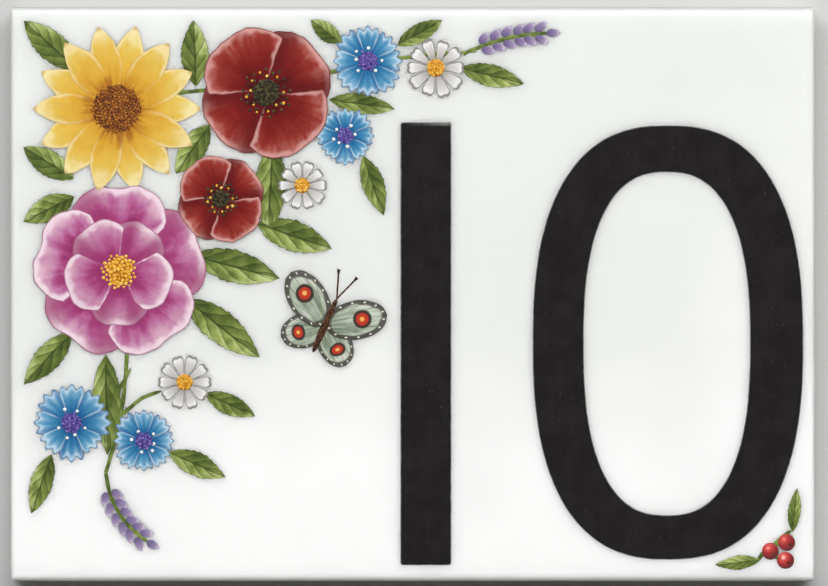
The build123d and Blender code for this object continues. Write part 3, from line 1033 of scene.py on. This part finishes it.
cornflower = {
    "pieces": [
        ("cornflowerBlooms", "cornflower_petals", "blue_enamel"),
        ("cornflowerTufts", "cornflower_centres", "violet_enamel"),
    ],
    "blooms": [((79.0, 12.0), 8.0), ((74.0, 28.5), 6.5), ((13.5, 92.0), 8.5), ((29.5, 96.0), 7.0)],
    "seed": 41,
    "rings": [
        {"enamel": "cornflowerBlue", "petals": 8, "halfAngle": 24.0, "drop": 0.08, "power": 2.0,
         "teeth": 0.13, "start": 0.1, "layer": 0.12, "layerStep": 0.06, "columns": 19, "rows": 13,
         "wobble": 0.15, "spread": 0.12, "laps": 1.0},
    ],
    "middleShare": 0.26,
    "dots": [
        {"enamel": "tuftViolet", "level": 0.16, "shares": {"size": 1.0}, "height": 0.13, "segments": 16,
         "rings": 8, "spread": 0.0, "wobble": 0.25},
        {"enamel": "tuftViolet", "level": 0.26, "count": 22, "shares": {"inner": 0.3, "outer": 1.15},
         "size": 0.24, "height": 0.09},
        {"enamel": "dotWhite", "level": 0.2, "count": 6, "shares": {"inner": 1.2, "outer": 1.6},
         "size": 0.36, "height": 0.12, "spread": 0.2, "strewn": True},
    ],
}
paintBlooms(cornflower)


# Daisies

daisy = {
    "pieces": [
        ("daisyBlooms", "daisy_petals", "white_enamel"),
        ("daisyMiddles", "daisy_centres", "gold_enamel"),
    ],
    "blooms": [((94.0, 13.5), 6.6), ((64.5, 39.5), 5.6), ((38.5, 83.0), 6.0)],
    "seed": 51,
    "rings": [
        {"enamel": "daisyWhite", "petals": 10, "halfAngle": 14.0, "drop": 0.14, "power": 5.0, "notch": 0.03,
         "start": 0.15, "layer": 0.09, "layerStep": 0.05, "columns": 13, "rows": 13, "wobble": 0.15,
         "spread": 0.1},
    ],
    "middleShare": 0.3,
    "dots": [
        {"enamel": "stamenGold", "level": 0.12, "shares": {"size": 1.0}, "height": 0.14, "segments": 24,
         "rings": 8, "spread": 0.0, "wobble": 0.15},
        {"enamel": "antherGold", "level": 0.23, "count": 30, "inner": 0.1, "shares": {"outer": 0.95},
         "size": 0.22, "height": 0.07},
    ],
}
paintBlooms(daisy)


# Lavender

sprig = {
    "spines": [  # start, end and rise
        ((100.0, 10.5), (120.0, 5.8), 1.2),
        ((21.0, 103.0), (31.5, 119.0), -2.4),
    ],
    "pairs": 6,
    "length": 3.2,
    "rise": 0.95,
    "splay": 32.0,
    "standOff": 1.5,
    "bare": 0.28,
    "layer": 0.1,
    "layerStep": 0.004,
    "tintStep": 0.21,
    "shape": {"enamel": "lavenderViolet", "columns": 9, "rows": 13, "plump": 0.7, "skew": 0.85, "dome": 0.6,
              "wobble": 0.1, "seed": 61},
}


def budRows(count=48):  # pairs of buds along each spine, and one at its tip
    rows = []
    half = sprig["length"] * mm / 2
    for start, end, rise in sprig["spines"]:
        spine = arcPoints(fromTopLeft(*start), fromTopLeft(*end), rise * mm, count)
        for step in range(sprig["pairs"] + 1):
            spot = round(count * (sprig["bare"] + (1 - sprig["bare"]) * step / sprig["pairs"]))
            before, after = spine[max(spot - 1, 0)], spine[min(spot + 1, count)]
            heading = math.atan2(after[1] - before[1], after[0] - before[0])
            for side in (-1, 1) if step < sprig["pairs"] else (0,):
                turn = heading + side * math.radians(sprig["splay"])
                off = side * sprig["standOff"] * mm
                rows.append((
                    spine[spot][0] - off * math.sin(heading) - half * math.cos(turn),
                    spine[spot][1] + off * math.cos(heading) - half * math.sin(turn),
                    turn,
                    2 * half,
                    sprig["rise"] * mm,
                    sprig["layer"] + sprig["layerStep"] * step,
                    (step * goldenShare + side * sprig["tintStep"]) % 1,
                ))
    return rows


lavenderSprigs = bladePiece("lavenderSprigs", budRows(), sprig["shape"])
dress(lavenderSprigs, "lavender_buds")


# Butterfly

butterfly = {
    "place": (69.5, 70.5),
    "turn": -24.0,
    "wings": [(34.0, 14.0, 8.6, 0.13), (-38.0, 10.0, 7.6, 0.1)],  # angle, length, width and layer
    "tints": (0.2, 0.6),  # of the right and left wings
    "shape": {"enamel": "wingGrey", "columns": 21, "rows": 27, "plump": 0.5, "skew": 1.0, "dome": 0.25,
              "wobble": 0.2, "seed": 71},
    "bodyLength": 13.0,
    "bodyWidth": 2.0,
    "bodyTip": 0.08,
    "bodySteps": 24,
    "waists": [(0.35, 0.25, 0.07), (0.3, 0.72, 0.06)],  # depth, place and width of each narrowing
    "antenna": 6.5,
    "splay": 20.0,
    "feeler": 0.2,
    "club": 0.25,
    "clubStart": 0.85,
    "feelerSteps": 12,
    "brush": {"enamel": "bodyBrown", "flat": 0.3, "wobble": 0.05, "seed": 3},
    "streaks": 6.0,
    "rays": 1.6,
    "marginSpan": (0.74, 0.84),  # of the wing's round
    "beads": 2.2,
    "beadRing": 0.89,
    "beadSpan": (0.03, 0.06),
    "eyeAt": 0.2,
    "eyeWidth": 0.62,
    "grey": [(0.1, "#66735F"), (0.4, "#98A48F"), (0.7, "#C4CABC"), (1.0, "#E2E5DB")],
    "vein": "#4A4640",
    "margin": "#3A3431",
    "bead": "#D9D6CB",
    "eye": [(0.27, 0.33, "#3A302C"), (0.17, 0.23, "#B93A28"), (0.05, 0.1, "#F0B060")],
}
butterflySpot = fromTopLeft(*butterfly["place"])


def wingEnamel(name, look):
    tree, shader = newMaterial(name, enamelGloss)
    brush = brushFields(tree, look)
    along, mottle = brush["along"], brush["mottle"]
    out = along * 2 - 1
    half = (1 - out * out).call("MAXIMUM").call("SQRT")
    across = brush["side"] * half  # out and across: the wing as a round of radius 1
    reach = (out * out + across * across).call("SQRT")
    ray = across / along.call("MAXIMUM", 0.02)
    vein = abs((ray * look["rays"]).call("FRACT") - 0.5).smooth(0.43, 0.49)
    margin = (reach + (mottle - 0.5) * 0.1).smooth(*look["marginSpan"])
    beads = (across.call("ARCTAN2", out) * look["beads"]).call("FRACT") - 0.5
    bead = ((beads * 0.45) ** 2.0 + (reach - look["beadRing"]) ** 2.0).call("SQRT")
    eye = ((out - look["eyeAt"]) ** 2.0 + (across * look["eyeWidth"]) ** 2.0).call("SQRT")
    colour = overlay(
        tree,
        rampOf(tree, along * 0.4 + brush["streak"] * 0.35 + mottle * 0.25, look["grey"]),
        (vein * 0.65, look["vein"]),
        (margin * 0.9, look["margin"]),
        (1 - bead.smooth(*look["beadSpan"]), look["bead"]),
        *[(1 - eye.smooth(low, high), shade) for low, high, shade in look["eye"]],
    )
    finishShader(tree, shader, colour, mottle * 0.12 + 0.24, brush["streak"])


def wingRows():
    rows = []
    for angle, length, width, layer in butterfly["wings"]:
        for heading, tint in zip((angle, 180 - angle), butterfly["tints"]):
            turn = math.radians(heading + butterfly["turn"])
            rows.append((*butterflySpot, turn, length * mm, width * mm / 2, layer, tint))
    return rows


def bodyStrokes():
    upward = math.radians(butterfly["turn"] + 90)
    half = butterfly["bodyLength"] * mm / 2

    def along(distance, turn=0.0, start=butterflySpot):
        return start[0] + distance * math.cos(upward + turn), start[1] + distance * math.sin(upward + turn)

    body = []
    for step in range(butterfly["bodySteps"] + 1):
        t = step / butterfly["bodySteps"] * 2 - 1
        waist = 1 - sum(deep * math.exp(-(((t - at) / wide) ** 2)) for deep, at, wide in butterfly["waists"])
        swell = max(math.sqrt(max(1 - t * t, 0)), butterfly["bodyTip"])
        width = butterfly["bodyWidth"] * mm / 2 * swell * waist
        body.append((*along(t * half), width))
    strokes = [body]
    for side in (-1, 1):
        feeler = []
        for step in range(butterfly["feelerSteps"] + 1):
            t = step / butterfly["feelerSteps"]
            spot = along(butterfly["antenna"] * mm * t, side * math.radians(butterfly["splay"]), along(half))
            club = max(t - butterfly["clubStart"], 0) / (1 - butterfly["clubStart"])
            feeler.append((*spot, (butterfly["feeler"] + butterfly["club"] * club) * mm))
        strokes.append(feeler)
    return strokes


wingEnamel("wingGrey", butterfly)
butterflyWings = bladePiece("butterflyWings", wingRows(), butterfly["shape"])
dress(butterflyWings, "butterfly_wings")
butterflyBody = strokePiece("butterflyBody", bodyStrokes(), butterfly["brush"])
dress(butterflyBody, "butterfly_body")


# Berries

berry = {
    "places": [(9.8, 6.6), (6.2, 8.6), (6.4, 4.6)],
    "dome": {"enamel": "berryRed", "level": -0.02, "size": 1.9, "height": 0.3, "segments": 40, "rings": 16,
             "spread": 0.0, "wobble": 0.12},
    "eye": {"enamel": "podDark", "level": 0.25, "size": 0.3, "height": 0.08, "spread": 0.0},
    "eyeOff": (0.7, -0.6),
    "seed": 81,
    "eyeSeed": 1,
    "shine": (-0.3, 0.35),  # where the light falls on a berry
    "streaks": 2.0,
    "red": [(0.02, "#F3C2B8"), (0.16, "#D9534A"), (0.45, "#A3262A"), (0.85, "#6A1418")],
}


def berryEnamel(name, look):
    tree, shader = newMaterial(name, {})
    brush = brushFields(tree, look)
    x, y, mottle = brush["side"], brush["along"] * 2 - 1, brush["mottle"]
    shineX, shineY = look["shine"]
    away = ((x - shineX) ** 2.0 + (y - shineY) ** 2.0).call("SQRT")
    colour = rampOf(tree, away * 0.7 + (mottle - 0.5) * 0.15, look["red"])
    feed(tree, colour, shader.inputs["Base Color"])
    feed(tree, mottle * 0.08 + 0.16, shader.inputs["Roughness"])


berryEnamel("berryRed", berry)
berrySprig = newPiece("berrySprig")
for seed, place in enumerate(berry["places"], berry["seed"]):
    x, z = fromLowRight(*place)
    eyeSpot = (x + berry["eyeOff"][0] * mm, z + berry["eyeOff"][1] * mm)
    addDots(berrySprig, (x, z), berry["dome"], seed)
    addDots(berrySprig, eyeSpot, berry["eye"], berry["eyeSeed"])
dress(settle(berrySprig), "berries")


# Foliage

foliage = {
    "stemWidth": 0.9,
    "tipShare": 0.4,  # of the stem's width at its tip, and what each step back adds
    "tipStep": 0.2,
    "brush": {"enamel": "stemGreen", "flat": 0.22, "wobble": 0.25, "seed": 3},
    "stems": [  # start, end and rise
        ((21.0, 103.0), (24.0, 58.5), -3.0),
        ((23.5, 22.5), (56.5, 19.0), 2.0),
        ((56.5, 19.0), (103.0, 10.0), 2.0),
        ((56.5, 19.0), (74.0, 28.5), -1.5),
        ((46.5, 42.5), (64.5, 39.5), -2.0),
        ((13.5, 92.0), (26.5, 80.0), -2.0),
        ((25.0, 90.0), (33.4, 85.0), 0.8),
    ],
    "berryStems": [
        ((12.5, 4.8), (6.2, 8.6), 0.8),
        ((9.8, 6.6), (5.0, 11.2), 0.5),
        ((9.8, 6.6), (6.4, 4.6), -0.4),
    ],
    "shape": {"enamel": "leafGreen", "columns": 17, "rows": 61, "plump": 0.95, "skew": 0.92, "serrate": 0.1,
              "teeth": 9.0, "dome": 0.4, "wobble": 0.25, "seed": 91},
    "layer": 0.06,
    "layerStep": 0.02,
    "leaves": [  # base, tip and rise
        ((15.0, 14.0), (2.9, 3.1), 3.4),
        ((14.0, 38.0), (2.8, 31.0), 3.0),
        ((14.0, 42.0), (2.8, 47.5), 3.0),
        ((41.0, 17.5), (40.5, 3.0), 3.2),
        ((44.0, 26.0), (36.5, 37.0), 3.0),
        ((58.0, 30.0), (57.0, 50.0), 3.6),
        ((54.5, 48.0), (71.0, 53.5), 3.6),
        ((40.0, 55.0), (59.5, 60.0), 3.8),
        ((38.5, 64.5), (55.0, 77.5), 3.8),
        ((13.5, 72.0), (2.9, 83.5), 3.0),
        ((21.0, 77.0), (21.5, 99.0), 3.4),
        ((35.0, 98.5), (47.5, 104.0), 2.8),
        ((9.0, 99.0), (4.6, 112.0), 2.6),
        ((43.0, 85.5), (54.0, 90.5), 2.4),
        ((73.0, 8.0), (66.5, 2.9), 2.2),
        ((85.5, 8.5), (95.5, 3.0), 2.2),
        ((99.5, 13.5), (113.5, 17.0), 2.6),
        ((70.5, 20.5), (85.0, 22.5), 2.4),
        ((78.0, 33.0), (82.5, 46.0), 2.6),
    ],
    "berryLeaves": [((12.0, 4.6), (22.0, 3.6), 1.6), ((4.9, 11.0), (3.9, 20.5), 1.5)],
}


def leafRows():
    rows = []
    for measure, blades in ((fromTopLeft, foliage["leaves"]), (fromLowRight, foliage["berryLeaves"])):
        for base, tip, rise in blades:
            (x, z), (tipX, tipZ) = measure(*base), measure(*tip)
            order = len(rows) * goldenShare % 1
            layer = foliage["layer"] + foliage["layerStep"] * order
            heading, span = math.atan2(tipZ - z, tipX - x), math.hypot(tipX - x, tipZ - z)
            rows.append((x, z, heading, span, rise * mm, layer, order))
    return rows


def stemStrokes():
    strokes = []
    half = foliage["stemWidth"] * mm / 2
    arcs = [(fromTopLeft, arc) for arc in foliage["stems"] + sprig["spines"]]
    arcs += [(fromLowRight, arc) for arc in foliage["berryStems"]]
    for measure, (start, end, rise) in arcs:
        line = arcPoints(measure(*start), measure(*end), rise * mm)
        stroke = []
        for left, (x, z) in zip(reversed(range(len(line))), line):
            stroke.append((x, z, half * min(1, foliage["tipShare"] + foliage["tipStep"] * left)))
        strokes.append(stroke)
    return strokes


leafBlades = bladePiece("leafSprays", leafRows(), foliage["shape"])
stemLines = strokePiece("stemLines", stemStrokes(), foliage["brush"])
dress(joinPieces([leafBlades, stemLines]), "foliage")
print("garland painted")


# Stage: a pale wall behind the tile, open to views from behind, and a pale floor

stage = {
    "wallGap": 1.0, "wallHalf": 900.0, "floorHalf": 1800.0, "floorDrop": 350.0,
    "wall": "#C0C1C0", "floor": "#CDCDCB", "light": "#FFFFFF", "lightFrom": 40.0, "lightTo": 95.0,
}


def stagePlane(name, corners, coat):
    mesh = bpy.data.meshes.new(name)
    mesh.from_pydata(corners, [], [(0, 1, 2, 3)])
    plane = bpy.data.objects.new(name, mesh)
    plane.data.materials.append(materials[coat])
    bpy.context.scene.collection.objects.link(plane)
    plane.visible_diffuse = False  # the stage sends no light back
    return plane


def stageMaterial(name, colour, seeThrough):
    tree, shader = newMaterial(name, {"Roughness": 0.9, "Specular IOR Level": 0.0})
    place = objectPlace(tree)
    cloud = noiseOf(tree, place, 6.0) * 0.08
    lit = parts(tree, place)[0].smooth(stage["lightFrom"] * mm, stage["lightTo"] * mm) * 0.1
    feed(tree, blend(tree, cloud + lit, colour, stage["light"]), shader.inputs["Base Color"])
    if seeThrough:
        clear = addNode(tree, "ShaderNodeBsdfTransparent")
        behind = addNode(tree, "ShaderNodeNewGeometry").outputs["Backfacing"]
        mix = addNode(tree, "ShaderNodeMixShader", {0: behind, 1: shader.outputs[0], 2: clear.outputs[0]})
        tree.links.new(mix.outputs[0], tree.nodes["Material Output"].inputs["Surface"])


def cornersOf(left, right, low, high):
    return (left, low), (right, low), (right, high), (left, high)


wallHalf, floorHalf, wallLevel = stage["wallHalf"] * mm, stage["floorHalf"] * mm, stage["wallGap"] * mm
floorLevel = tileLow.z - stage["floorDrop"] * mm
wallCorners = [(x, wallLevel, z) for x, z in cornersOf(-wallHalf, wallHalf, floorLevel, wallHalf)]
floorCorners = [(x, y, floorLevel) for x, y in cornersOf(-floorHalf, floorHalf, -floorHalf, floorHalf)]
stageMaterial("wallPale", stage["wall"], True)
stageMaterial("floorPale", stage["floor"], False)
wall = stagePlane("backWall", wallCorners, "wallPale")
wall.visible_shadow = False
stagePlane("floor", floorCorners, "floorPale")


# Light and camera

lamps = {
    "overhead": {"at": (0.0, -1.53, 1.29), "size": (4.0, 0.6), "watts": 77.0},
    "strip": {"at": (0.0, -1.8, 0.88), "size": (4.0, 0.25), "watts": 7.0, "mirrored": True, "lights": False},
    "left": {"at": (-1.79, -1.03, 0.75), "size": (1.6, 1.2), "watts": 4.0},
    "right": {"at": (1.79, -1.03, 0.75), "size": (1.6, 1.2), "watts": 4.0},
    "behindLeft": {"at": (0.7, 1.1, 0.7), "size": (0.5, 0.5), "watts": 11.0, "mirrored": True},
    "behindRight": {"at": (-0.9, 1.3, 0.1), "size": (0.9, 0.6), "watts": 5.0, "mirrored": True},
}
for name, lamp in lamps.items():
    light = bpy.data.lights.new(name, "AREA")
    light.shape = "RECTANGLE"
    light.size, light.size_y = lamp["size"]
    light.energy = lamp["watts"]
    holder = bpy.data.objects.new(name, light)
    holder.location = lamp["at"]
    holder.rotation_mode = "QUATERNION"
    holder.rotation_quaternion = (-holder.location).to_track_quat("-Z", "Y")
    holder.visible_glossy = lamp.get("mirrored", False)
    holder.visible_diffuse = lamp.get("lights", True)
    bpy.context.scene.collection.objects.link(holder)

# The world, as it is seen straight, mirrored in gloss and spent as light
studio = {"colour": "#F2F3F2", "seen": 0.82, "mirrored": 0.65, "ambient": 0.06}
world = bpy.data.worlds.new("studio")
world.use_nodes = True
sky = world.node_tree
rays = addNode(sky, "ShaderNodeLightPath").outputs
looked = Field(sky, rays["Is Camera Ray"]).call("MAXIMUM", rays["Is Transmission Ray"])
strength = looked * (studio["seen"] - studio["ambient"]) + studio["ambient"]
strength = strength + Field(sky, rays["Is Glossy Ray"]) * (studio["mirrored"] - studio["ambient"])
feed(sky, paint(studio["colour"]), sky.nodes["Background"].inputs["Color"])
feed(sky, strength, sky.nodes["Background"].inputs["Strength"])
bpy.context.scene.world = world

shot = {"frameWidth": 183.1, "across": 0.32, "up": 0.22, "lens": 200.0, "sensor": 36.0}
lensData = bpy.data.cameras.new("scanView")
lensData.lens, lensData.sensor_width = shot["lens"], shot["sensor"]
camera = bpy.data.objects.new("scanView", lensData)
away = shot["frameWidth"] * mm * shot["lens"] / shot["sensor"]
camera.location = (shot["across"] * mm, faceLevel - away, shot["up"] * mm)
camera.rotation_euler = (math.pi / 2, 0, 0)
bpy.context.scene.collection.objects.link(camera)
bpy.context.scene.camera = camera
bpy.context.scene.view_settings.view_transform = "Standard"
print("stage, light and camera set")
